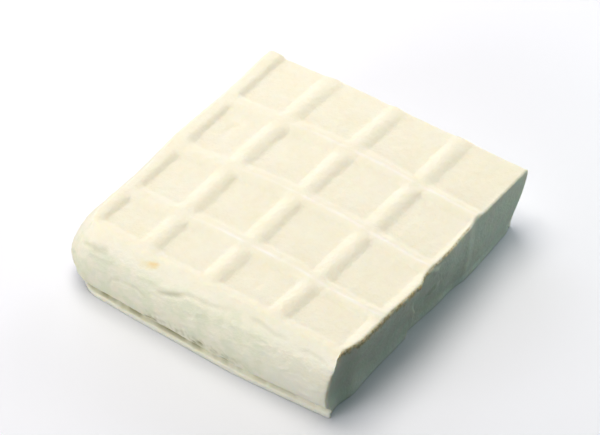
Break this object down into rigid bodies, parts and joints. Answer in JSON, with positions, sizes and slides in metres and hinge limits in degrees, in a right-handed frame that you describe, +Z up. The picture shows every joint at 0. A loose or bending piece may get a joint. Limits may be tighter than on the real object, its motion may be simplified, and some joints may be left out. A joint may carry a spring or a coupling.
{
  "type": "tofu block",
  "caption": "Square block of firm tofu with a moulded grid on top and two knife-cut sides, for food scenes and kitchen layouts.",
  "frame": {"origin": "middle of the block's bounding box in plan, on the flat base it rests on", "axes": "+Z up out of the grid; -Y out of the moulded front with the lip; -X out of the other moulded side; +X and +Y out of the two cut sides"},
  "size_m": [0.1278, 0.124, 0.0291],
  "materials": {
    "tofu": "moist satin, cream white, faintly translucent"
  },
  "bodies": {
    "root": {"tofu_block": "tofu"}
  },
  "joints": []
}
